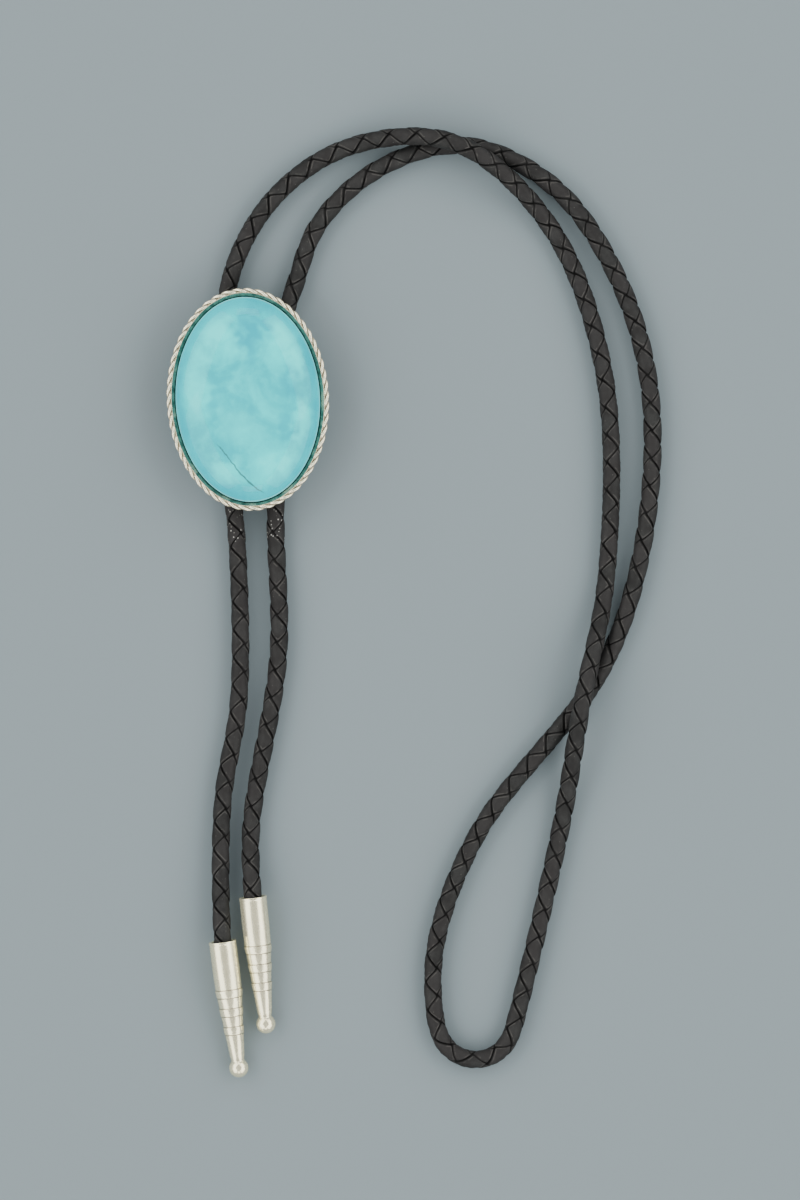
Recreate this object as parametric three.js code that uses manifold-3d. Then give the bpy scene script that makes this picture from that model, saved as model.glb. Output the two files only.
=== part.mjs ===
// Bolo tie lying flat, seen from above: an oval stone in a rope-edged setting, a hidden slide clip
// behind it, and one braided cord that ends in two metal tips.
// Millimetres. +X to the right, +Y to the top of the slide, +Z up from the surface it lies on.
// The origin is on that surface, under the middle of the slide.

import * as THREE from "three";
import { mergeVertices } from "three/addons/utils/BufferGeometryUtils.js";
import Module from "manifold-3d";

// Clearance between pieces that meet
const gap = 0.3;

// Cord
const cordDiameter = 4.4;
const cordSides = 8;
const cordPlugLength = 8;

// Slide clip
const clipLength = 18;
const clipWall = 0.7;
const channelSpacing = 12;
const leverWidth = 7;
const leverThickness = 0.8;
const webWidth = 2.4;
const curlEndAngle = -118;

// Setting
const plateThickness = 1;
const plateChamfer = 0.3;
const bezelHeight = 1;
const lipWidth = 0.8;
const lipDrop = 0.5;
const ropeDiameter = 1.3;
const ropeBite = 0.25;
const ropeSink = 0.2;
const ropeRidgePitch = 2.57;
const ropeDip = 0.2;
const slideLean = 3.2;

// Stone
const stoneWidth = 33.7;
const stoneLength = 47.9;
const stoneSide = 0.7;
const stoneDome = 6;
const shoulderShare = 0.3;
const shoulderPower = 12;

// Tips
const tipLength = 32.4;
const mouthDiameter = 6.5;
const sleeveEndDiameter = 6.2;
const sleeveLength = 11.4;
const bandCount = 3;
const bandPitch = 4.4;
const bandWidth = 1.9;
const bandRise = 0.12;
const neckDiameter = 3.15;
const ballDiameter = 4.5;
const tipSides = 16;

// Mesh fineness
const ovalSides = 64;
const stoneSides = 48;
const ropeSides = 8;
const ropeStepsPerTurn = 8;
const mergeDistance = 1e-4;
const degree = Math.PI / 180;

// The cord's section has eight flats at its diameter, so its corners reach a little further.
const cordReach = cordDiameter / 2 / Math.cos(Math.PI / cordSides);

// Heights, from the surface up
const channelRadius = cordReach + gap;
const curlRadius = channelRadius + clipWall;
const channelHeight = curlRadius;
const clipTop = channelHeight + curlRadius;
const plateBottom = clipTop + gap;
const plateTop = plateBottom + plateThickness;
const stoneBottom = plateTop + gap;

// A tip lies on the start of its first band and on its ball.
const ballRadius = ballDiameter / 2;
const ballMiddle = tipLength - ballRadius;
const bandRadius = sleeveEndDiameter / 2 + bandRise;
const tipSlope = Math.asin((bandRadius - ballRadius) / (ballMiddle - sleeveLength - bandRise));
const tipHeight = (along) => ballRadius + (ballMiddle - along) * Math.sin(tipSlope);
const mouthHeight = tipHeight(0);
const plugHeight = tipHeight(cordPlugLength);

// Heights of the cord's middle: on the surface, and where it passes over itself
const low = cordDiameter / 2;
const high = low + cordDiameter + 2 * gap;

// The cord's route, from inside the left tip round to inside the right tip
const cordRoute = [
  [-5.1, -134.8, plugHeight],
  [-6.1, -126.9, mouthHeight],
  [-6.1, -94, low],
  [-2.3, -70.5, low],
  [-2.75, -33, low],
  [-5.3, -9.7, channelHeight],
  [-6.3, 9, channelHeight],
  [-3.5, 31.6, low],
  [7.1, 49, low],
  [24.3, 59.9, low],
  [48.5, 60.2, high],
  [70.8, 41, low],
  [83.5, 6.7, low],
  [84.1, -41, low],
  [78, -71.8, high],
  [73.6, -99, low],
  [62.7, -145.7, low],
  [60.9, -151.4, low],
  [56.2, -154.8, low],
  [50.4, -154.8, low],
  [45.7, -151.4, low],
  [43.9, -145.7, low],
  [43.9, -127.9, low],
  [54, -101.3, low],
  [83.2, -62.9, low],
  [92.8, -33.2, low],
  [94.3, 2.5, low],
  [86.5, 29.3, low],
  [71.5, 50.5, low],
  [50.4, 60.1, low],
  [30.1, 54.3, low],
  [16, 41, low],
  [11.1, 27.6, low],
  [5.6, 9.7, channelHeight],
  [6.5, -9.1, channelHeight],
  [6.3, -29, low],
  [7, -60, low],
  [0.55, -100, low],
  [1, -116.5, mouthHeight],
  [1.8, -124.4, plugHeight],
].map(([x, y, z]) => new THREE.Vector3(x, y, z));

const leather = new THREE.MeshStandardMaterial({ color: 0x45423f, roughness: 0.75, metalness: 0 });
const silver = new THREE.MeshStandardMaterial({ color: 0xd9d6cb, roughness: 0.2, metalness: 1 });
const backMetal = new THREE.MeshStandardMaterial({ color: 0xb9b7b0, roughness: 0.35, metalness: 1 });
const turquoise = new THREE.MeshStandardMaterial({ color: 0x4fd6dc, roughness: 0.15, metalness: 0 });

const wasm = await Module();
wasm.setup();

// Booleans

function closedGeometry(geometry) {
  geometry.deleteAttribute("normal");
  geometry.deleteAttribute("uv");
  return mergeVertices(geometry, mergeDistance);
}

function toSolid(geometry) {
  const closed = closedGeometry(geometry);
  return new wasm.Manifold(new wasm.Mesh({
    numProp: 3,
    vertProperties: new Float32Array(closed.attributes.position.array),
    triVerts: new Uint32Array(closed.index.array),
  }));
}

function toGeometry(solid) {
  const mesh = solid.getMesh();
  const geometry = new THREE.BufferGeometry();
  geometry.setAttribute("position", new THREE.BufferAttribute(mesh.vertProperties, 3));
  geometry.setIndex(new THREE.BufferAttribute(mesh.triVerts, 1));
  geometry.computeVertexNormals();
  return geometry;
}

function pieceMesh(name, geometry, material) {
  const mesh = new THREE.Mesh(geometry, material);
  mesh.name = name;
  return mesh;
}

// A turned form whose rings are ovals: each ring is as much longer than wide as the stone is.
function ovalLathe(profile, sides) {
  const longer = (stoneLength - stoneWidth) / 2;
  const geometry = new THREE.LatheGeometry(profile, sides);
  geometry.rotateX(Math.PI / 2);
  const place = geometry.attributes.position;
  for (let i = 0; i < place.count; i += 1) {
    const radius = Math.hypot(place.getX(i), place.getY(i));
    if (radius > mergeDistance) {
      place.setY(i, place.getY(i) * (radius + longer) / radius);
    }
  }
  return geometry;
}

// Cord

class RouteCurve extends THREE.CatmullRomCurve3 {
  // Steps follow the chosen points, so they are closer together in the tight bends.
  getUtoTmapping(u) {
    return u;
  }

  // The surface stops the curve where it would swing below it beside a hump.
  getPoint(t, target) {
    const point = super.getPoint(t, target);
    point.z = Math.max(point.z, low);
    return point;
  }

  // Each section stands upright, so the cord lies on one of its flats.
  computeFrenetFrames(steps) {
    const up = new THREE.Vector3(0, 0, 1);
    const tangents = Array.from({ length: steps + 1 }, (unused, i) => this.getTangentAt(i / steps));
    const normals = tangents.map((along) => new THREE.Vector3().crossVectors(up, along).normalize());
    const binormals = tangents.map((along, i) => new THREE.Vector3().crossVectors(along, normals[i]));
    return { tangents, normals, binormals };
  }
}

function cordGeometry() {
  const section = new THREE.Shape(
    Array.from({ length: cordSides }, (unused, i) => {
      const angle = (i + 0.5) * 2 * Math.PI / cordSides;
      return new THREE.Vector2(cordReach * Math.cos(angle), cordReach * Math.sin(angle));
    }),
  );
  const steps = 2 * (cordRoute.length - 1);
  return closedGeometry(new THREE.ExtrudeGeometry(section, { steps, extrudePath: new RouteCurve(cordRoute) }));
}

// Tips

function tipGeometry() {
  const socketRadius = channelRadius / Math.cos(Math.PI / tipSides);
  const socketDepth = cordPlugLength + gap;
  const neckRadius = neckDiameter / 2;
  const ballAngle = Math.asin(neckRadius / ballRadius);
  const neckEnd = ballMiddle - ballRadius * Math.cos(ballAngle);
  const coneRadius = (along) => THREE.MathUtils.mapLinear(
    along, sleeveLength, neckEnd, sleeveEndDiameter / 2, neckRadius);
  const outline = [
    [0, socketDepth],
    [socketRadius, socketDepth],
    [socketRadius, 0],
    [mouthDiameter / 2, 0],
    [sleeveEndDiameter / 2, sleeveLength - bandRise],
  ];
  for (let band = 0; band < bandCount; band += 1) {
    const start = sleeveLength + band * bandPitch;
    const end = start + bandWidth;
    outline.push([coneRadius(start), start]);
    outline.push([coneRadius(start) + bandRise, start + bandRise]);
    outline.push([coneRadius(end) + bandRise, end - bandRise]);
    outline.push([coneRadius(end), end]);
  }
  const ballSteps = 6;
  for (let i = 0; i <= ballSteps; i += 1) {
    const angle = THREE.MathUtils.lerp(ballAngle, Math.PI, i / ballSteps);
    const radius = i === ballSteps ? 0 : ballRadius * Math.sin(angle);
    outline.push([radius, ballMiddle - ballRadius * Math.cos(angle)]);
  }
  const profile = outline.map(([radius, along]) => new THREE.Vector2(radius, along));
  return closedGeometry(new THREE.LatheGeometry(profile, tipSides));
}

// A tip's own axis is +Y from its mouth to its ball. It takes its place and heading from the cord's end.
function tipPiece(name, mouth, plug) {
  const heading = Math.atan2(plug.y - mouth.y, plug.x - mouth.x);
  const tip = pieceMesh(name, tipGeometry(), silver);
  tip.rotation.order = "ZXY";
  tip.rotation.set(-tipSlope, 0, heading - Math.PI / 2);
  tip.position.set(mouth.x, mouth.y, mouthHeight);
  return tip;
}

// Slide clip

function clipGeometry() {
  const middle = channelSpacing / 2;
  const curlSteps = 14;
  const curl = (radius, from, to) => Array.from({ length: curlSteps + 1 }, (unused, i) => {
    const angle = THREE.MathUtils.lerp(from, to, i / curlSteps) * degree;
    return [middle + radius * Math.cos(angle), channelHeight + radius * Math.sin(angle)];
  });
  const half = [
    ...curl(curlRadius, 90, curlEndAngle),
    ...curl(channelRadius, curlEndAngle, 90),
    [webWidth / 2, channelHeight + channelRadius],
    [webWidth / 2, leverThickness],
    [leverWidth / 2, leverThickness],
    [leverWidth / 2, 0],
  ];
  const mirrored = half.map(([x, z]) => [-x, z]).reverse();
  const section = new THREE.Shape([...half, ...mirrored].map(([x, z]) => new THREE.Vector2(x, z)));
  const geometry = new THREE.ExtrudeGeometry(section, { depth: clipLength, bevelEnabled: false, steps: 1 });
  geometry.translate(0, 0, -clipLength / 2);
  geometry.rotateX(Math.PI / 2);
  return closedGeometry(geometry);
}

// Setting

const wallRadius = stoneWidth / 2 + gap;
const lipRadius = wallRadius + lipWidth;
const ropeMiddle = lipRadius - ropeBite + ropeDiameter / 2;
const ropeHeight = plateTop - ropeSink + ropeDiameter / 2;
const bezelTop = plateTop + bezelHeight;

// Back plate and bezel wall, whose lip slopes down to the stone
function traySolid() {
  const plateRadius = ropeMiddle + ropeDiameter / 4;
  const profile = [
    [0, plateBottom],
    [plateRadius - plateChamfer, plateBottom],
    [plateRadius, plateBottom + plateChamfer],
    [plateRadius, plateTop],
    [ropeMiddle, plateTop],
    [ropeMiddle - ropeBite, bezelTop],
    [lipRadius, bezelTop],
    [wallRadius, bezelTop - lipDrop],
    [wallRadius, plateTop],
    [0, plateTop],
  ].map(([radius, height]) => new THREE.Vector2(radius, height));
  return toSolid(ovalLathe(profile, ovalSides));
}

// Two wires twisted together and laid round the edge
function ropeSolid() {
  const longer = (stoneLength - stoneWidth) / 2;
  const oval = new THREE.EllipseCurve(0, 0, ropeMiddle, ropeMiddle + longer, 0, 2 * Math.PI);
  const turns = Math.round(oval.getLength() / (2 * ropeRidgePitch));
  const ring = 10 * ropeDiameter;
  const geometry = new THREE.TorusGeometry(ring, ropeDiameter / 2, ropeSides, turns * ropeStepsPerTurn);
  const place = geometry.attributes.position;
  for (let i = 0; i < place.count; i += 1) {
    const across = Math.hypot(place.getX(i), place.getY(i));
    const around = Math.atan2(place.getY(i), place.getX(i));
    const share = THREE.MathUtils.euclideanModulo(around / (2 * Math.PI), 1);
    const face = Math.atan2(place.getZ(i), across - ring);
    const dip = ropeDip * Math.sin(face + turns * around) ** 2;
    const reach = ropeDiameter / 2 * (1 - dip);
    const middle = oval.getPointAt(share);
    const along = oval.getTangentAt(share);
    place.setXYZ(
      i,
      middle.x + along.y * reach * Math.cos(face),
      middle.y - along.x * reach * Math.cos(face),
      ropeHeight + reach * Math.sin(face),
    );
  }
  return toSolid(geometry);
}

function settingGeometry() {
  return toGeometry(traySolid().add(ropeSolid()));
}

// Stone: a low dome that turns down more steeply at its shoulder

function stoneGeometry() {
  const rings = [0.99, 0.965, 0.93, 0.87, 0.77, 0.62, 0.44, 0.23];
  const domeHeight = (share) => (
    1 - (1 - shoulderShare) * share ** 2 - shoulderShare * share ** shoulderPower
  );
  const domeBottom = stoneBottom + stoneSide;
  const profile = [
    [0, stoneBottom],
    [stoneWidth / 2, stoneBottom],
    [stoneWidth / 2, domeBottom],
    ...rings.map((share) => [share * stoneWidth / 2, domeBottom + stoneDome * domeHeight(share)]),
    [0, domeBottom + stoneDome],
  ].map(([radius, height]) => new THREE.Vector2(radius, height));
  const geometry = new THREE.LatheGeometry(profile, stoneSides);
  geometry.rotateX(Math.PI / 2);
  geometry.scale(1, stoneLength / stoneWidth, 1);
  return closedGeometry(geometry);
}

const slide = new THREE.Group();
slide.rotation.z = slideLean * degree;
slide.add(
  pieceMesh("setting", settingGeometry(), silver.clone()),
  pieceMesh("stone", stoneGeometry(), turquoise),
  pieceMesh("clip", clipGeometry(), backMetal),
);

const group = new THREE.Group();
group.add(
  slide,
  pieceMesh("cord", cordGeometry(), leather),
  tipPiece("tip_left", cordRoute[1], cordRoute[0]),
  tipPiece("tip_right", cordRoute.at(-2), cordRoute.at(-1)),
);

export default group;
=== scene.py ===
"""A bolo tie that lies flat: a braided leather cord with two metal tips, run through a clip behind an
oval stone in a rope-edged setting. Metres, +Z up from the surface that it lies on."""

import math

import bpy
import numpy as np
from mathutils import Matrix, Vector


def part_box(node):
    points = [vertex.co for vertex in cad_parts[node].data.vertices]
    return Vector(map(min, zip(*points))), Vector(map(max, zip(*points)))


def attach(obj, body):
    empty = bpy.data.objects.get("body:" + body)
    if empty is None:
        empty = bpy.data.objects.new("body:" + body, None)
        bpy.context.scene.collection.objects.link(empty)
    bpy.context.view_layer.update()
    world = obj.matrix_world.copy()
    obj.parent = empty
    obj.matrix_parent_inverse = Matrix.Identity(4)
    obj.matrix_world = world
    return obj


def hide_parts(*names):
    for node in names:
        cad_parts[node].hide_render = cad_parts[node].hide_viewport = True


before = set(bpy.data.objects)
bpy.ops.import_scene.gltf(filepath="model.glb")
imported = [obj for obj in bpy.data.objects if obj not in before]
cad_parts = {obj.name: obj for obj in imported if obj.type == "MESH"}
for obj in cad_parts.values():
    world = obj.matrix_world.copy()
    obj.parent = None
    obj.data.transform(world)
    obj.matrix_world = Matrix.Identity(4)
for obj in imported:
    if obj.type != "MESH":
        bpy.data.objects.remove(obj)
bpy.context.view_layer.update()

# Sizes of the slide, in metres, as in the frame
GAP = 0.0003
STONE_WIDTH = 0.0337
STONE_LENGTH = 0.0479
STONE_SIDE = 0.0007
STONE_DOME = 0.006
SHOULDER_SHARE = 0.3
SHOULDER_POWER = 12
PLATE_THICKNESS = 0.001
BEZEL_HEIGHT = 0.001
LIP_WIDTH = 0.0008
LIP_DROP = 0.0005
ROPE_DIAMETER = 0.0013
ROPE_BITE = 0.00025
ROPE_SINK = 0.0002
ROPE_TURNS = 27
SLIDE_LEAN = math.radians(3.2)

# Sizes of the cord and tips
CORD_DIAMETER = 0.0044
CORD_PLUG = 0.008
BRAID_LEAD = 0.013
CHANNEL_HEIGHT = 0.003381
TIP_LENGTH = 0.0324
MOUTH_RADIUS = 0.00325
SLEEVE_END_RADIUS = 0.0031
SLEEVE_LENGTH = 0.0114
BAND_COUNT = 3
BAND_PITCH = 0.0044
BAND_WIDTH = 0.0019
BAND_RISE = 0.00012
NECK_RADIUS = 0.001575
BALL_RADIUS = 0.00225

# A tip lies on the start of its first band and on its ball.
BALL_MIDDLE = TIP_LENGTH - BALL_RADIUS
BAND_RADIUS = SLEEVE_END_RADIUS + BAND_RISE
TIP_SLOPE = math.asin((BAND_RADIUS - BALL_RADIUS) / (BALL_MIDDLE - SLEEVE_LENGTH - BAND_RISE))

# Heights of the cord's middle
LOW = CORD_DIAMETER / 2
HIGH = LOW + CORD_DIAMETER + 2 * GAP
CHANNEL = CHANNEL_HEIGHT
MOUTH = BALL_RADIUS + BALL_MIDDLE * math.sin(TIP_SLOPE)
PLUG = MOUTH - CORD_PLUG * math.sin(TIP_SLOPE)

# The cord's route, from inside the left tip round to inside the right tip
ROUTE = [
    (-0.0051, -0.1348, PLUG),
    (-0.0061, -0.1269, MOUTH),
    (-0.0061, -0.0940, LOW),
    (-0.0023, -0.0705, LOW),
    (-0.00275, -0.0330, LOW),
    (-0.0053, -0.0097, CHANNEL),
    (-0.0063, 0.0090, CHANNEL),
    (-0.0035, 0.0316, LOW),
    (0.0071, 0.0490, LOW),
    (0.0243, 0.0599, LOW),
    (0.0485, 0.0602, HIGH),
    (0.0708, 0.0410, LOW),
    (0.0835, 0.0067, LOW),
    (0.0841, -0.0410, LOW),
    (0.0780, -0.0718, HIGH),
    (0.0736, -0.0990, LOW),
    (0.0627, -0.1457, LOW),
    (0.0609, -0.1514, LOW),
    (0.0562, -0.1548, LOW),
    (0.0504, -0.1548, LOW),
    (0.0457, -0.1514, LOW),
    (0.0439, -0.1457, LOW),
    (0.0439, -0.1279, LOW),
    (0.0540, -0.1013, LOW),
    (0.0832, -0.0629, LOW),
    (0.0928, -0.0332, LOW),
    (0.0943, 0.0025, LOW),
    (0.0865, 0.0293, LOW),
    (0.0715, 0.0505, LOW),
    (0.0504, 0.0601, LOW),
    (0.0301, 0.0543, LOW),
    (0.0160, 0.0410, LOW),
    (0.0111, 0.0276, LOW),
    (0.0056, 0.0097, CHANNEL),
    (0.0065, -0.0091, CHANNEL),
    (0.0063, -0.0290, LOW),
    (0.0070, -0.0600, LOW),
    (0.00055, -0.1000, LOW),
    (0.0010, -0.1165, MOUTH),
    (0.0018, -0.1244, PLUG),
]

# Camera: straight above the middle of the photograph's frame
VIEW_MIDDLE = (0.03555, -0.04687)
VIEW_HEIGHT = 1.2
FRAME_HEIGHT = 0.28195
SENSOR_WIDTH = 36

# Floor and lights: places are measured from the middle that the lights point at
FLOOR_HALF = 4
LIGHT_AIM = (0.02, -0.03, 0)
PANEL_MIDDLE = (0.03, -0.03)
PANEL_PLACE = (0.92, 0.6, 0.77)
PANEL_SIZE = (1.4, 1.0)
PANEL_POWER = 14.5
PANEL_COLOUR = (1, 0.985, 0.95)
END_PLACE = (1.25, 0.9)
END_SIZE = (0.6, 0.4)
END_POWER = 3
END_COLOUR = (1, 0.96, 0.93)
BACKDROP_STRENGTH = 0.85


def make_camera():
    data = bpy.data.cameras.new("camera")
    data.sensor_width = SENSOR_WIDTH
    data.lens = data.sensor_width * (VIEW_HEIGHT - LOW) / FRAME_HEIGHT
    data.clip_start = 0.01
    camera = bpy.data.objects.new("camera", data)
    camera.location = (*VIEW_MIDDLE, VIEW_HEIGHT)
    bpy.context.collection.objects.link(camera)
    bpy.context.scene.camera = camera


# Mesh making

def ring_faces(rings, sides, looped=False, first=0):
    """Quads between neighbouring rings of points; looped joins the last ring to the first."""
    row = np.arange(rings if looped else rings - 1)[:, None]
    column = np.arange(sides)[None, :]
    after = (row + 1) % rings
    beside = (column + 1) % sides
    corners = [row * sides + column, row * sides + beside, after * sides + beside, after * sides + column]
    return (np.stack(np.broadcast_arrays(*corners), axis=-1).reshape(-1, 4) + first).tolist()


def end_caps(rings, sides, first=0):
    start = [first + side for side in reversed(range(sides))]
    end = [first + (rings - 1) * sides + side for side in range(sides)]
    return [start, end]


def new_piece(name, points, faces, material, values=None):
    """A smooth mesh object; values are named numbers, one for each point."""
    mesh = bpy.data.meshes.new(name)
    mesh.from_pydata(np.asarray(points).reshape(-1, 3).tolist(), [], faces)
    mesh.polygons.foreach_set("use_smooth", [True] * len(mesh.polygons))
    for key, numbers in (values or {}).items():
        layer = mesh.attributes.new(key, "FLOAT", "POINT")
        layer.data.foreach_set("value", np.asarray(numbers, dtype=np.float32).ravel())
    mesh.materials.append(material)
    mesh.update()
    piece = bpy.data.objects.new(name, mesh)
    bpy.context.collection.objects.link(piece)
    return piece


def turned(profile, sides):
    """Rings of points round +Z from (radius, height) pairs."""
    angle = np.arange(sides) * 2 * math.pi / sides
    radius = np.array([r for r, z in profile])[:, None]
    height = np.array([z for r, z in profile])[:, None]
    return np.stack([radius * np.cos(angle), radius * np.sin(angle), height + 0 * angle], axis=-1)


def leaned(points):
    """The slide's own points, turned to where it lies."""
    cosine, sine = math.cos(SLIDE_LEAN), math.sin(SLIDE_LEAN)
    turn = np.array([[cosine, -sine, 0], [sine, cosine, 0], [0, 0, 1]])
    return np.asarray(points).reshape(-1, 3) @ turn.T


def unit(vectors):
    return vectors / np.linalg.norm(vectors, axis=-1, keepdims=True)


# Material making

class Nodes:
    """A short way to write a material's nodes."""

    def __init__(self, name):
        self.material = bpy.data.materials.new(name)
        self.material.use_nodes = True
        self.tree = self.material.node_tree
        self.shader = self.tree.nodes["Principled BSDF"]

    def add(self, kind, inputs=None, **settings):
        node = self.tree.nodes.new(kind)
        for key, value in settings.items():
            setattr(node, key, value)
        for key, value in (inputs or {}).items():
            self.set(node.inputs[key], value)
        return node

    def set(self, socket, value):
        if isinstance(value, bpy.types.NodeSocket):
            self.tree.links.new(value, socket)
        else:
            socket.default_value = value

    def shade(self, **inputs):
        for key, value in inputs.items():
            self.set(self.shader.inputs[key.replace("_", " ")], value)

    def place(self):
        return self.add("ShaderNodeTexCoord").outputs["Object"]

    def value(self, name):
        return self.add("ShaderNodeAttribute", attribute_name=name).outputs["Fac"]

    def vector(self, operation, inputs, output="Vector"):
        return self.add("ShaderNodeVectorMath", inputs, operation=operation).outputs[output]

    def shifted(self, vector, scale, reach):
        """Places moved about by a soft noise, by up to about a third of the reach."""
        noise = self.add("ShaderNodeTexNoise", {"Vector": vector, "Scale": scale}).outputs["Color"]
        move = self.vector("SUBTRACT", {0: noise, 1: (0.5, 0.5, 0.5)})
        move = self.vector("SCALE", {0: move, "Scale": reach})
        return self.vector("ADD", {0: vector, 1: move})

    def patches(self, vector, rows):
        """Soft ovals seen from above: rows of (middle x, middle y, half width, half length, strength)."""
        total = 0.0
        for x, y, width, length, strength in rows:
            apart = self.vector("SUBTRACT", {0: vector, 1: (x, y, 0)})
            apart = self.stretch(apart, (1 / width, 1 / length, 0))
            apart = self.vector("LENGTH", {0: apart}, "Value")
            total = self.math("MAXIMUM", self.span(apart, 0.2, 1.3, strength, 0), total)
        return total

    def stretch(self, vector, scale, turn=(0, 0, 0)):
        inputs = {"Vector": vector, "Scale": scale, "Rotation": turn}
        return self.add("ShaderNodeMapping", inputs).outputs["Vector"]

    def noise(self, vector, scale, detail=3.0, roughness=0.5, distortion=0.0):
        inputs = {"Vector": vector, "Scale": scale, "Detail": detail, "Roughness": roughness}
        inputs["Distortion"] = distortion
        return self.add("ShaderNodeTexNoise", inputs).outputs["Fac"]

    def cells(self, vector, scale, feature="F1"):
        inputs = {"Vector": vector, "Scale": scale}
        return self.add("ShaderNodeTexVoronoi", inputs, feature=feature).outputs["Distance"]

    def math(self, operation, first, second=0.0):
        return self.add("ShaderNodeMath", {0: first, 1: second}, operation=operation).outputs[0]

    def span(self, value, low, high, to_low=0.0, to_high=1.0):
        inputs = {"Value": value, "From Min": low, "From Max": high, "To Min": to_low, "To Max": to_high}
        return self.add("ShaderNodeMapRange", inputs, interpolation_type="SMOOTHSTEP").outputs["Result"]

    def mix(self, share, first, second, blend="MIX"):
        node = self.add("ShaderNodeMix", data_type="RGBA", blend_type=blend)
        for index, value in ((0, share), (6, first), (7, second)):
            self.set(node.inputs[index], value)
        return node.outputs[2]

    def bump(self, height, strength, distance, normal=None):
        inputs = {"Height": height, "Strength": strength, "Distance": distance}
        if normal:
            inputs["Normal"] = normal
        return self.add("ShaderNodeBump", inputs).outputs["Normal"]


# Where small shiny flecks lie on both tails: minus their middle along Y, just past the slide
FLECK_MIDDLE = 0.0295


def leather_material():
    m = Nodes("braided_leather")
    place = m.place()
    patches = m.noise(place, 260, 4)
    grain = m.noise(place, 3200, 3, 0.6)
    pores = m.cells(place, 2400)
    colour = m.mix(m.span(patches, 0.35, 0.68), (0.015, 0.0152, 0.0152, 1), (0.028, 0.029, 0.0287, 1))
    colour = m.mix(m.span(grain, 0.3, 0.75, 0, 0.5), colour, (0.012, 0.012, 0.012, 1))
    colour = m.mix(m.value("tone"), colour, (0.025, 0.0232, 0.0235, 1))
    # The edge value darkens the strips: dye on their cut edges, painted shade in the gaps between them, and
    # painted shade where one dives under another
    edge = m.value("edge")
    # A lighter band just inside each strip's edge: partly wear and partly a painted highlight where the
    # raised edge catches light
    worn_and_highlight = m.math("MULTIPLY", m.span(edge, 0.04, 0.18), m.span(edge, 0.2, 0.36, 0.4, 0))
    worn_and_highlight = m.math("MULTIPLY", worn_and_highlight, m.span(m.noise(place, 500, 3), 0.42, 0.62))
    colour = m.mix(worn_and_highlight, colour, (0.10, 0.097, 0.09, 1))
    speck = m.span(m.cells(place, 700), 0.04, 0.10, 0.5, 0)
    colour = m.mix(speck, colour, (0.12, 0.12, 0.11, 1))
    parts = m.add("ShaderNodeSeparateXYZ", {"Vector": place}).outputs
    near = m.span(m.math("ABSOLUTE", m.math("ADD", parts[1], FLECK_MIDDLE)), 0.0025, 0.0045, 1, 0)
    near = m.math("MULTIPLY", near, m.span(parts[0], 0.02, 0.03, 1, 0))
    fleck = m.math("MULTIPLY", m.span(m.cells(place, 1100), 0.14, 0.24, 1, 0), near)
    colour = m.mix(fleck, colour, (0.36, 0.36, 0.34, 1))
    faint = m.span(m.noise(place, 330, 2), 0.38, 0.58, 0.75, 1)
    # Near-black along edges and dives: dye on the cut edges, and painted shade in the gaps and dives
    colour = m.mix(m.math("MULTIPLY", m.span(edge, 0.25, 0.9), faint), colour, (0.002, 0.002, 0.002, 1))
    rough = m.math("MAXIMUM", m.span(m.noise(place, 900, 2), 0.3, 0.7, 0.5, 0.72), edge)
    creases = m.noise(place, 1100, 4, 0.6, 0.6)
    normal = m.bump(creases, 0.5, 0.00012)
    normal = m.bump(grain, 0.35, 0.00006, normal)
    normal = m.bump(m.span(pores, 0, 0.35), 0.2, 0.00004, normal)
    m.shade(Base_Color=colour, Roughness=rough, Specular_IOR_Level=0.13, Normal=normal)
    return m.material


def silver_material(name, tone):
    m = Nodes(name)
    place = m.place()
    cloud = m.noise(place, 420, 3)
    colour = m.mix(m.span(cloud, 0.3, 0.7), tone, tuple(0.93 * part for part in tone[:3]) + (1,))
    # Dark brown where the groove value is high; on the rope this includes painted shade in the hollows beside
    # the bezel
    colour = m.mix(m.span(m.value("groove"), 0.1, 1.0, 0, 0.9), colour, (0.17, 0.14, 0.09, 1))
    # On the bezel's lip slope and wall: a painted reflection of the stone in shade, dark green, with beige
    # painted highlights in patches
    stone_reflection_and_highlights = m.mix(m.span(m.noise(place, 700, 3), 0.35, 0.6), (0.05, 0.12, 0.10, 1), (0.15, 0.27, 0.22, 1))
    stone_reflection_and_highlights = m.mix(m.span(m.noise(place, 190, 3), 0.55, 0.66, 0, 0.7), stone_reflection_and_highlights, (0.60, 0.56, 0.42, 1))
    colour = m.mix(m.value("bezel"), colour, stone_reflection_and_highlights)
    scratches = m.noise(m.stretch(place, (1, 0.08, 1)), 9000, 2)
    rough = m.span(scratches, 0.3, 0.75, 0.2, 0.3)
    normal = m.bump(m.noise(place, 1500, 2), 0.12, 0.00008)
    m.shade(Base_Color=colour, Metallic=0.75, Roughness=rough, Normal=normal)
    return m.material


# The stone's fine vein: minus its start, its heading, its length and how far it bends to one side
VEIN_START = (0.00745, 0.0102, 0)
VEIN_HEADING = (0.699, -0.715)
VEIN_LENGTH = 0.01646
VEIN_BEND = 0.0058
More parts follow.
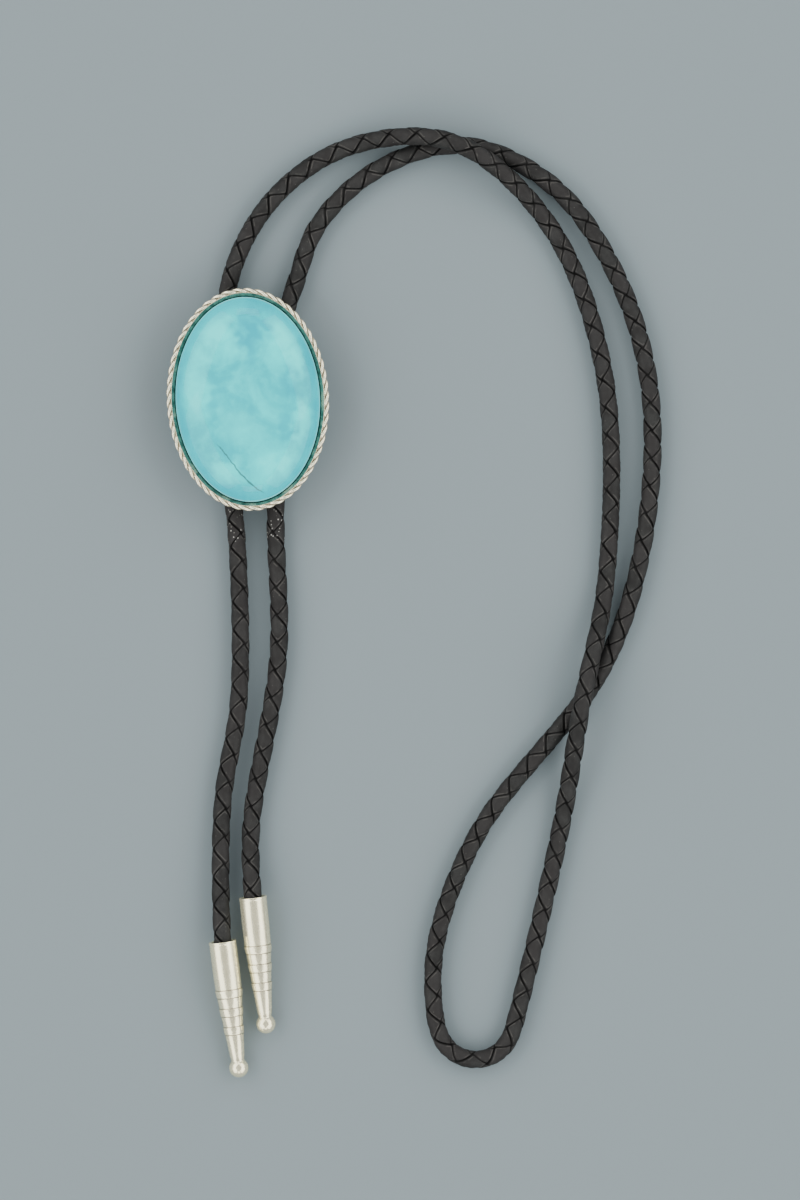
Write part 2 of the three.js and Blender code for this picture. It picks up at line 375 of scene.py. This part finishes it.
# The stone's patches: middle along X and Y, half width, half length, and how strong. The pale ones are
# painted reflections of the lamps on the dome; the deep ones are darker ovals of colour
LAMP_REFLECTION_PATCHES = [
    (-0.0080, 0.0157, 0.0050, 0.0042, 0.65),
    (-0.0040, 0.0122, 0.0034, 0.0034, 0.45),
    (0.0083, 0.0152, 0.0034, 0.0058, 0.65),
    (0.0114, 0.0085, 0.0024, 0.0048, 0.6),
    (-0.0122, 0.0040, 0.0034, 0.0100, 0.5),
    (-0.0049, -0.0175, 0.0040, 0.0034, 0.6),
    (0.0074, -0.0156, 0.0044, 0.0040, 0.65),
    (0.0132, -0.0050, 0.0022, 0.0070, 0.5),
    (-0.0020, -0.0065, 0.0060, 0.0050, 0.35),
]
DEEP_PATCHES = [
    (0.0002, 0.0150, 0.0034, 0.0072, 0.9),
    (0.0040, 0.0185, 0.0060, 0.0020, 0.7),
    (0.0098, 0.0040, 0.0026, 0.0045, 0.6),
    (0.0090, -0.0055, 0.0024, 0.0036, 0.6),
    (-0.0070, -0.0010, 0.0028, 0.0030, 0.5),
]


def stone_material():
    m = Nodes("blue_green_stone")
    place = m.place()
    cloud = m.noise(place, 85, 5, 0.55, 0.8)
    fine = m.noise(place, 420, 4, 0.6)
    colour = m.mix(m.span(cloud, 0.36, 0.66), (0.0, 0.47, 0.54, 1), (0.0, 0.72, 0.74, 1))
    colour = m.mix(m.span(fine, 0.45, 0.75, 0, 0.35), colour, (0.0, 0.80, 0.80, 1))
    moved = m.shifted(place, 240, 0.009)
    colour = m.mix(m.patches(moved, DEEP_PATCHES), colour, (0.0, 0.38, 0.49, 1))
    # Painted reflections of the lamps: pale ovals on the dome
    colour = m.mix(m.patches(moved, LAMP_REFLECTION_PATCHES), colour, (0.015, 0.96, 0.93, 1))
    rim = m.value("rim")
    colour = m.mix(m.span(rim, 0.80, 0.96, 0, 0.6), colour, (0.0, 0.42, 0.54, 1))
    colour = m.mix(m.span(rim, 0.985, 0.997, 0, 0.4), colour, (0.45, 0.80, 0.76, 1))
    parts = m.add("ShaderNodeSeparateXYZ", {"Vector": m.vector("ADD", {0: place, 1: VEIN_START})}).outputs
    east, north = VEIN_HEADING
    along = m.math("ADD", m.math("MULTIPLY", parts[0], east), m.math("MULTIPLY", parts[1], north))
    aside = m.math("ADD", m.math("MULTIPLY", parts[0], -north), m.math("MULTIPLY", parts[1], east))
    share = m.math("MULTIPLY", along, 1 / VEIN_LENGTH)
    bend = m.math("MULTIPLY", m.math("MULTIPLY", share, share), m.math("SUBTRACT", 1.0, share))
    aside = m.math("ADD", aside, m.math("MULTIPLY", bend, VEIN_BEND))
    aside = m.math("ADD", aside, m.math("MULTIPLY", m.math("SUBTRACT", m.noise(place, 700, 3), 0.5), 0.0007))
    ends = m.math("MULTIPLY", m.span(share, 0, 0.12), m.span(share, 0.9, 1.02, 1, 0))
    spot = m.span(m.math("ABSOLUTE", m.math("SUBTRACT", share, 0.75)), 0, 0.07, 0.00012, 0)
    width = m.math("ADD", 0.00019, spot)
    line = m.span(m.math("DIVIDE", m.math("ABSOLUTE", aside), width), 0.4, 1.0, 0.95, 0)
    colour = m.mix(m.math("MULTIPLY", line, ends), colour, (0.05, 0.15, 0.16, 1))
    m.shade(Base_Color=colour, Roughness=0.6, Specular_IOR_Level=0.0)
    m.shade(Coat_Weight=0.5, Coat_Roughness=0.06, Coat_IOR=1.4)
    return m.material


def clip_material():
    m = Nodes("clip_metal")
    place = m.place()
    brushed = m.noise(m.stretch(place, (1, 0.03, 1)), 5000, 3)
    colour = m.mix(m.span(m.noise(place, 300, 3), 0.3, 0.7), (0.62, 0.61, 0.58, 1), (0.50, 0.49, 0.46, 1))
    normal = m.bump(brushed, 0.2, 0.00004)
    m.shade(Base_Color=colour, Metallic=1.0, Roughness=m.span(brushed, 0.3, 0.7, 0.28, 0.42), Normal=normal)
    return m.material


# Cord

PATH_STEP = 0.0004
PATH_SOFTEN = 0.0028
# How much of its room a strip takes, by the way that it winds; the wider ones overlap their neighbours
STRIP_COVER = {1: 0.99, -1: 1.08}
STRIP_RISE = 0.00031
ROW_RISE = 0.00009
STRIP_THICK = 0.00042
STRIP_MIDDLE = CORD_DIAMETER / 2 - STRIP_RISE - ROW_RISE - STRIP_THICK
WAVE_POWER = 0.5
# Section of a leather strip: share of its half width, height from its middle, and how near its edge; the
# material darkens the edge, partly as dye on the cut edge and partly as painted shade in the gap beside it
STRIP_SECTION = [
    (-1.0, 0.00014, 1.0),
    (-0.93, 0.00036, 0.3),
    (-0.78, 0.00041, 0.0),
    (-0.3, STRIP_THICK, 0.0),
    (0.3, STRIP_THICK, 0.0),
    (0.78, 0.00041, 0.0),
    (0.93, 0.00036, 0.3),
    (1.0, 0.00014, 1.0),
    (0.92, -0.0002, 1.0),
    (-0.92, -0.0002, 1.0),
]
# Rings of a strip between two of the places where it lies on top, closer together where it dives
STRIP_RINGS = [0, 0.16, 0.3, 0.38, 0.44, 0.5, 0.58, 0.75, 1, 1.25, 1.42, 1.5, 1.56, 1.62, 1.7, 1.84]
# Least room between a strip's end and its next ring
END_ROOM = 0.05
# Painted shade on a strip where it dives under its neighbour: where it starts and where it is full
DIVE_SHADE_START = 0.35
DIVE_SHADE_END = 0.46
# How far the braid is turned round its own axis: distance along the cord in metres, and degrees
BRAID_TWIST = [
    (0.06, 59),
    (0.20, 34),
    (0.30, -24),
    (0.41, -90),
    (0.52, -9),
    (0.62, -73),
    (0.75, -120),
    (0.87, -107),
]


def route_curve(points, steps):
    """Centripetal Catmull-Rom curve through the route's points."""
    points = np.array(points)
    ends = [2 * points[:1] - points[1:2], points, 2 * points[-1:] - points[-2:-1]]
    line = np.concatenate(ends)
    share = np.linspace(0, 1, steps, endpoint=False)[:, None]
    stretches = []
    for before, start, end, after in zip(line, line[1:], line[2:], line[3:]):
        pairs = ((before, start), (start, end), (end, after))
        first, middle, last = (math.sqrt(math.dist(*pair)) for pair in pairs)
        leave = (start - before) / first - (end - before) / (first + middle) + (end - start) / middle
        leave = leave * middle
        reach = (end - start) / middle - (after - start) / (middle + last) + (after - end) / last
        reach = reach * middle
        square = 3 * (end - start) - 2 * leave - reach
        cube = 2 * (start - end) + leave + reach
        stretches.append(start + leave * share + square * share**2 + cube * share**3)
    return np.concatenate([*stretches, points[-1:]])


def even_steps(line, step):
    """The same line with points an equal distance apart."""
    along = np.concatenate([[0], np.cumsum(np.linalg.norm(np.diff(line, axis=0), axis=1))])
    count = round(along[-1] / step)
    places = np.linspace(0, along[-1], count + 1)
    return np.stack([np.interp(places, along, line[:, axis]) for axis in range(3)], axis=1)


def softened(line, spread, step):
    """The line with each point moved to the mean of its surroundings, and its ends kept."""
    reach = round(3 * spread / step)
    weight = np.exp(-0.5 * (np.arange(-reach, reach + 1) * step / spread) ** 2)
    weight /= weight.sum()
    before = 2 * line[0] - line[reach:0:-1]
    after = 2 * line[-1] - line[-2 : -reach - 2 : -1]
    padded = np.concatenate([before, line, after])
    return np.stack([np.convolve(padded[:, axis], weight, "valid") for axis in range(3)], axis=1)


def cord_path():
    line = route_curve(ROUTE, 60)
    line[:, 2] = np.maximum(line[:, 2], LOW)
    return even_steps(softened(even_steps(line, PATH_STEP), PATH_SOFTEN, PATH_STEP), PATH_STEP)


def path_frames(line):
    """Directions along, sideways and up for each point of a line that stays near level."""
    along = unit(np.gradient(line, axis=0))
    side = unit(np.cross([0, 0, 1], along))
    return side, np.cross(along, side)


def strand(line, side, up, number, way):
    """One leather strip: rings of points, how near each is to an edge or dive (the material paints these
    dark: dye on the cut edges, painted shade in the gaps and where it dives), and its facet's tone.
    """
    length = PATH_STEP * (len(line) - 1)
    turn = 2 * math.pi / BRAID_LEAD
    share, thick, edge = (np.array(column) for column in zip(*STRIP_SECTION))
    own = number + share[None, :] * STRIP_COVER[way] / 2
    top = number if way == 1 else number + 1
    repeats = 2 * np.arange(-2, math.ceil(turn * length / math.pi) + 2)
    other = (repeats[:, None] + np.array(STRIP_RINGS)[None, :]).ravel() + top
    reach_end = 2 * turn * length / math.pi - number
    between = (other > END_ROOM - number) & (other < reach_end - END_ROOM)
    other = np.concatenate([[-number], other[between], [reach_end]])
    other = other[:, None]
    dive = np.abs((other - top + 1) % 2 - 1)
    angle = way * math.pi * (other - own) / 2
    place = np.clip(math.pi * (other + own) / (2 * turn), 0, length)
    wave = np.cos(math.pi * dive)
    wave = np.sign(wave) * np.abs(wave) ** WAVE_POWER
    reach = STRIP_MIDDLE + STRIP_RISE * wave + way * ROW_RISE * np.cos(2 * angle) + thick
    twist_places, twist_angles = zip(*BRAID_TWIST)
    angle = angle + np.radians(np.interp(place, twist_places, twist_angles))
    index = np.arange(len(line)) * PATH_STEP

    def at_place(rows):
        return np.stack([np.interp(place, index, rows[:, axis]) for axis in range(3)], axis=-1)

    outward = np.cos(angle)[..., None] * at_place(up) + np.sin(angle)[..., None] * at_place(side)
    points = at_place(line) + reach[..., None] * outward
    # Painted shade where the strip dives under its neighbour
    dive_shade = np.clip((dive - DIVE_SHADE_START) / (DIVE_SHADE_END - DIVE_SHADE_START), 0, 1)
    facet = np.floor((other - top + 1) / 2).astype(int)
    tones = np.random.default_rng(10 * number + way + 1).uniform(0, 0.6, facet.max() - facet.min() + 1)
    tone = np.broadcast_to(tones[facet - facet.min()], points.shape[:2])
    return points, {"edge": np.maximum(dive_shade, edge[None, :]), "tone": tone}


def make_cord(material):
    line = cord_path()
    side, up = path_frames(line)
    points, faces, values = [], [], []
    for number, way in ((0, 1), (1, 1), (0, -1), (1, -1)):
        rings, marks = strand(line, side, up, number, way)
        first = sum(part.size // 3 for part in points)
        quads = ring_faces(*rings.shape[:2], first=first) + end_caps(*rings.shape[:2], first=first)
        faces += quads if way == 1 else [face[::-1] for face in quads]
        points.append(rings)
        values.append(marks)
    merged = np.concatenate([part.reshape(-1, 3) for part in points])
    marks = {key: np.concatenate([part[key].ravel() for part in values]) for key in ("edge", "tone")}
    return new_piece("braided_cord", merged, faces, material, marks), line


# Slide: setting and stone

OVAL_SIDES = 288
LONGER = (STONE_LENGTH - STONE_WIDTH) / 2
WALL_RADIUS = STONE_WIDTH / 2 + GAP
LIP_RADIUS = WALL_RADIUS + LIP_WIDTH
ROPE_MIDDLE = LIP_RADIUS - ROPE_BITE + ROPE_DIAMETER / 2
CLIP_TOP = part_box("clip")[1][2]
PLATE_BOTTOM = CLIP_TOP + GAP
PLATE_TOP = PLATE_BOTTOM + PLATE_THICKNESS
BEZEL_TOP = PLATE_TOP + BEZEL_HEIGHT
ROPE_HEIGHT = PLATE_TOP - ROPE_SINK + ROPE_DIAMETER / 2
STONE_BOTTOM = PLATE_TOP + GAP


def oval(profile, sides=OVAL_SIDES):
    """Rings round an oval that is as much longer than wide as the stone is."""
    points = turned(profile, sides)
    angle = np.arange(sides) * 2 * math.pi / sides
    points[..., 1] += LONGER * np.sin(angle)
    return points


# The tray's profile is bezel lip and wall from this row on
BEZEL_ROW = 10


def tray():
    """Back plate and bezel, whose rounded lip slopes down to the stone."""
    plate_radius = ROPE_MIDDLE + ROPE_DIAMETER / 4
    chamfer = 0.0003
    round_edge = 0.00007
    lip_foot = BEZEL_TOP - LIP_DROP
    profile = [
        (WALL_RADIUS - 0.002, PLATE_BOTTOM),
        (plate_radius - chamfer, PLATE_BOTTOM),
        (plate_radius - 0.2 * chamfer, PLATE_BOTTOM + 0.3 * chamfer),
        (plate_radius, PLATE_BOTTOM + chamfer),
        (plate_radius, PLATE_TOP - chamfer),
        (plate_radius - chamfer, PLATE_TOP),
        (ROPE_MIDDLE - 0.2 * ROPE_DIAMETER, PLATE_TOP),
        (LIP_RADIUS, BEZEL_TOP - 3 * round_edge),
        (LIP_RADIUS - 0.3 * round_edge, BEZEL_TOP - round_edge),
        (LIP_RADIUS - round_edge, BEZEL_TOP),
        (LIP_RADIUS - 2.5 * round_edge, BEZEL_TOP - 0.8 * round_edge),
        (WALL_RADIUS + 0.5 * LIP_WIDTH, BEZEL_TOP - 0.52 * LIP_DROP),
        (WALL_RADIUS + round_edge, lip_foot + 0.3 * round_edge),
        (WALL_RADIUS - round_edge, lip_foot - 0.5 * round_edge),
        (WALL_RADIUS - 1.5 * round_edge, lip_foot - 3 * round_edge),
        (WALL_RADIUS - 1.5 * round_edge, PLATE_TOP),
        (WALL_RADIUS - 0.002, PLATE_TOP),
    ]
    return oval(profile)


WIRE_SIDES = 16
WIRE_STEPS = 28
WIRE_RADIUS = 0.00036
WIRE_TURN_RADIUS = ROPE_DIAMETER / 2 - WIRE_RADIUS
WIRE_GROOVE = 0.45
# Painted shade in the rope's hollows beside the bezel: how far in from its middle, how high, and how soft
HOLLOW_SHADE_INWARD = 0.00004
HOLLOW_SHADE_HEIGHT = 0.00052
HOLLOW_SHADE_EDGE = 0.00012


def rope_wire(phase):
    """One of the two wires that are twisted together round the edge."""
    sides = 720
    angle = np.linspace(0, 2 * math.pi, sides + 1)
    ring = np.stack([ROPE_MIDDLE * np.cos(angle), (ROPE_MIDDLE + LONGER) * np.sin(angle)], axis=1)
    along = np.concatenate([[0], np.cumsum(np.linalg.norm(np.diff(ring, axis=0), axis=1))])
    count = ROPE_TURNS * WIRE_STEPS
    share = np.arange(count) / count
    around = np.interp(share * along[-1], along, angle)
    cosine, sine = np.cos(around), np.sin(around)
    middle = np.stack([ROPE_MIDDLE * cosine, (ROPE_MIDDLE + LONGER) * sine, 0 * around], axis=1)
    outward = unit(np.stack([cosine / ROPE_MIDDLE, sine / (ROPE_MIDDLE + LONGER), 0 * around], axis=1))
    upward = np.array([0, 0, 1.0])
    twist = phase - 2 * math.pi * ROPE_TURNS * share
    centre = middle + WIRE_TURN_RADIUS * (np.cos(twist)[:, None] * outward + np.sin(twist)[:, None] * upward)
    centre[:, 2] += ROPE_HEIGHT
    forward = unit(np.roll(centre, -1, axis=0) - np.roll(centre, 1, axis=0))
    away = unit(np.cos(twist)[:, None] * outward + np.sin(twist)[:, None] * upward)
    away = unit(away - (away * forward).sum(axis=1, keepdims=True) * forward)
    beside = np.cross(forward, away)
    face = np.arange(WIRE_SIDES) * 2 * math.pi / WIRE_SIDES
    spread = np.cos(face)[None, :, None] * away[:, None] + np.sin(face)[None, :, None] * beside[:, None]
    points = centre[:, None] + WIRE_RADIUS * spread
    inward = -((points - middle[:, None]) * outward[:, None]).sum(axis=-1)
    sunk = ROPE_HEIGHT + HOLLOW_SHADE_HEIGHT - points[..., 2]
    # Painted shade in the valleys on the rope's inner side, next to the bezel; the groove value carries it
    hollow_shade = np.clip((inward - HOLLOW_SHADE_INWARD) / HOLLOW_SHADE_EDGE, 0, 1) * np.clip(sunk / HOLLOW_SHADE_EDGE, 0, 1)
    return points, np.maximum(np.clip(WIRE_GROOVE - np.cos(face), 0, 1), hollow_shade)


def make_setting(material):
    points, faces, grooves = [], [], []
    shapes = [(tray(), None), rope_wire(0), rope_wire(math.pi)]
    bezel = np.zeros(shapes[0][0].shape[:2])
    bezel[BEZEL_ROW:] = 1
    for rings, groove in shapes:
        first = sum(part.size // 3 for part in points)
        faces += ring_faces(*rings.shape[:2], looped=True, first=first)
        points.append(rings)
        grooves.append(np.zeros(rings.shape[:2]) if groove is None else groove)
    merged = leaned(np.concatenate([part.reshape(-1, 3) for part in points]))
    groove = np.concatenate([part.ravel() for part in grooves])
    values = {"groove": groove, "bezel": np.pad(bezel.ravel(), (0, len(groove) - bezel.size))}
    return new_piece("rope_edged_setting", merged, faces, material, values)


def make_stone(material):
    seat = 0.0001
    dome_bottom = STONE_BOTTOM + STONE_SIDE
    profile = [(0.3 * STONE_WIDTH / 2, STONE_BOTTOM), (STONE_WIDTH / 2 - seat, STONE_BOTTOM)]
    profile += [(STONE_WIDTH / 2, STONE_BOTTOM + seat)]
    shares = np.cos(np.linspace(0, math.pi / 2, 56))
    for share in shares[:-1]:
        height = 1 - (1 - SHOULDER_SHARE) * share**2 - SHOULDER_SHARE * share**SHOULDER_POWER
        profile.append((share * STONE_WIDTH / 2, dome_bottom + STONE_DOME * height))
    rings = turned(profile, OVAL_SIDES)
    rings[..., 1] *= STONE_LENGTH / STONE_WIDTH
    faces = ring_faces(*rings.shape[:2]) + end_caps(*rings.shape[:2])
    rim = np.repeat([radius / (STONE_WIDTH / 2) for radius, height in profile], OVAL_SIDES)
    return new_piece("oval_stone", leaned(rings), faces, material, {"rim": rim})


# Tips

TIP_SIDES = 96
# Where a ring band starts: distance past its start, share of its rise, and how dark the groove is
BAND_EDGE = [
    (-0.00017, 0.0, 0.0),
    (-0.00010, -0.1, 0.8),
    (-0.00002, 0.0, 0.9),
    (0.00010, 0.85, 0.5),
    (0.00019, 1.0, 0.0),
]


def tip_profile():
    """(radius, distance from the mouth, groove) from the socket's end out round the mouth to the ball."""
    ball_angle = math.asin(NECK_RADIUS / BALL_RADIUS)
    neck_end = BALL_MIDDLE - BALL_RADIUS * math.cos(ball_angle)
    socket = CORD_DIAMETER / 2 + GAP

    def cone(along):
        share = (along - SLEEVE_LENGTH) / (neck_end - SLEEVE_LENGTH)
        return SLEEVE_END_RADIUS + share * (NECK_RADIUS - SLEEVE_END_RADIUS)

    rows = [
        (0.0004, CORD_PLUG + GAP, 1),
        (socket, CORD_PLUG + GAP, 1),
        (socket, 0.0006, 1),
        (socket + 0.0001, 0.0002, 0.5),
        (MOUTH_RADIUS - 0.00022, 0.00002, 0),
        (MOUTH_RADIUS - 0.00008, 0.0, 0),
        (MOUTH_RADIUS, 0.0001, 0),
        (MOUTH_RADIUS, 0.0005, 0),
        (MOUTH_RADIUS - 0.00007, 0.00064, 0.1),
        (MOUTH_RADIUS - 0.00007, 0.0008, 0),
        (SLEEVE_END_RADIUS + 0.0001, 0.6 * SLEEVE_LENGTH, 0),
    ]
    for band in range(BAND_COUNT):
        start = SLEEVE_LENGTH + band * BAND_PITCH
        end = start + BAND_WIDTH
        rows += [(cone(start) + rise * BAND_RISE, start + along, groove) for along, rise, groove in BAND_EDGE]
        edge = reversed(BAND_EDGE)
        rows += [(cone(end) + rise * BAND_RISE, end - along, groove) for along, rise, groove in edge]
    rows += [(cone(neck_end - 0.0012), neck_end - 0.0012, 0), (NECK_RADIUS - 0.00012, neck_end - 0.0003, 0.3)]
    for angle in np.linspace(ball_angle, math.pi, 26)[:-1]:
        rows.append((BALL_RADIUS * math.sin(angle), BALL_MIDDLE - BALL_RADIUS * math.cos(angle), 0))
    rows.append((0.00004, TIP_LENGTH, 0))
    return rows


def make_tip(name, mouth, plug, material):
    rows = tip_profile()
    rings = turned([(radius, along) for radius, along, groove in rows], TIP_SIDES)
    faces = ring_faces(*rings.shape[:2]) + end_caps(*rings.shape[:2])
    heading = math.atan2(plug[1] - mouth[1], plug[0] - mouth[0])
    place = Matrix.Translation((mouth[0], mouth[1], MOUTH))
    place @= Matrix.Rotation(heading, 4, "Z") @ Matrix.Rotation(TIP_SLOPE, 4, "Y")
    place @= Matrix.Rotation(math.pi / 2, 4, "Y")
    turn = np.array(place.to_3x3())
    points = rings.reshape(-1, 3) @ turn.T + np.array(place.translation)
    groove = np.repeat([row[2] for row in rows], TIP_SIDES)
    return new_piece(name, points, faces, material, {"groove": groove})


# Floor and lights

def make_floor():
    half = FLOOR_HALF
    corners = [(-half, -half, 0), (half, -half, 0), (half, half, 0), (-half, half, 0)]
    m = Nodes("pale_floor")
    m.shade(Base_Color=(0.187, 0.232, 0.252, 1), Roughness=0.9, Specular_IOR_Level=0.1)
    floor = new_piece("floor", corners, [[0, 1, 2, 3]], m.material)


def soft_light(name, place, size, power, colour):
    data = bpy.data.lights.new(name, "AREA")
    data.shape = "RECTANGLE"
    data.size, data.size_y = size
    data.energy = power
    data.color = colour
    light = bpy.data.objects.new(name, data)
    light.location = place
    aim = Vector(LIGHT_AIM) - Vector(place)
    light.rotation_euler = aim.to_track_quat("-Z", "Y").to_euler()
    bpy.context.collection.objects.link(light)


def make_lights():
    world = bpy.data.worlds.new("studio")
    world.use_nodes = True
    backdrop = world.node_tree.nodes["Background"]
    backdrop.inputs["Color"].default_value = (0.5, 0.505, 0.51, 1)
    backdrop.inputs["Strength"].default_value = BACKDROP_STRENGTH
    bpy.context.scene.world = world
    x, y = PANEL_MIDDLE
    for side, name in ((-1, "left"), (1, "right")):
        for end, part in ((1, "top"), (-1, "bottom")):
            place = (x + PANEL_PLACE[0] * side, y + PANEL_PLACE[1] * end, PANEL_PLACE[2])
            soft_light(f"{name}_{part}_light", place, PANEL_SIZE, PANEL_POWER, PANEL_COLOUR)
    for end, name in ((1, "top"), (-1, "bottom")):
        place = (x, y + END_PLACE[0] * end, END_PLACE[1])
        soft_light(f"{name}_light", place, END_SIZE, END_POWER, END_COLOUR)


# Assembly

make_camera()
cord, cord_line = make_cord(leather_material())
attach(cord, "root")
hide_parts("cord")

tip_silver = silver_material("tip_metal", (0.98, 0.935, 0.66, 1))
setting_silver = silver_material("setting_metal", (0.98, 0.92, 0.68, 1))
tips = [
    make_tip("left_tip", ROUTE[1], ROUTE[0], tip_silver),
    make_tip("right_tip", ROUTE[-2], ROUTE[-1], tip_silver),
]
for tip, node in zip(tips, ("tip_left", "tip_right")):
    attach(tip, "root")
    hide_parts(node)

setting = make_setting(setting_silver)
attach(setting, "root")
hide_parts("setting")

stone = make_stone(stone_material())
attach(stone, "root")
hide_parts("stone")

for slot in bpy.data.objects["clip"].material_slots:
    slot.material = clip_material()

make_floor()
make_lights()
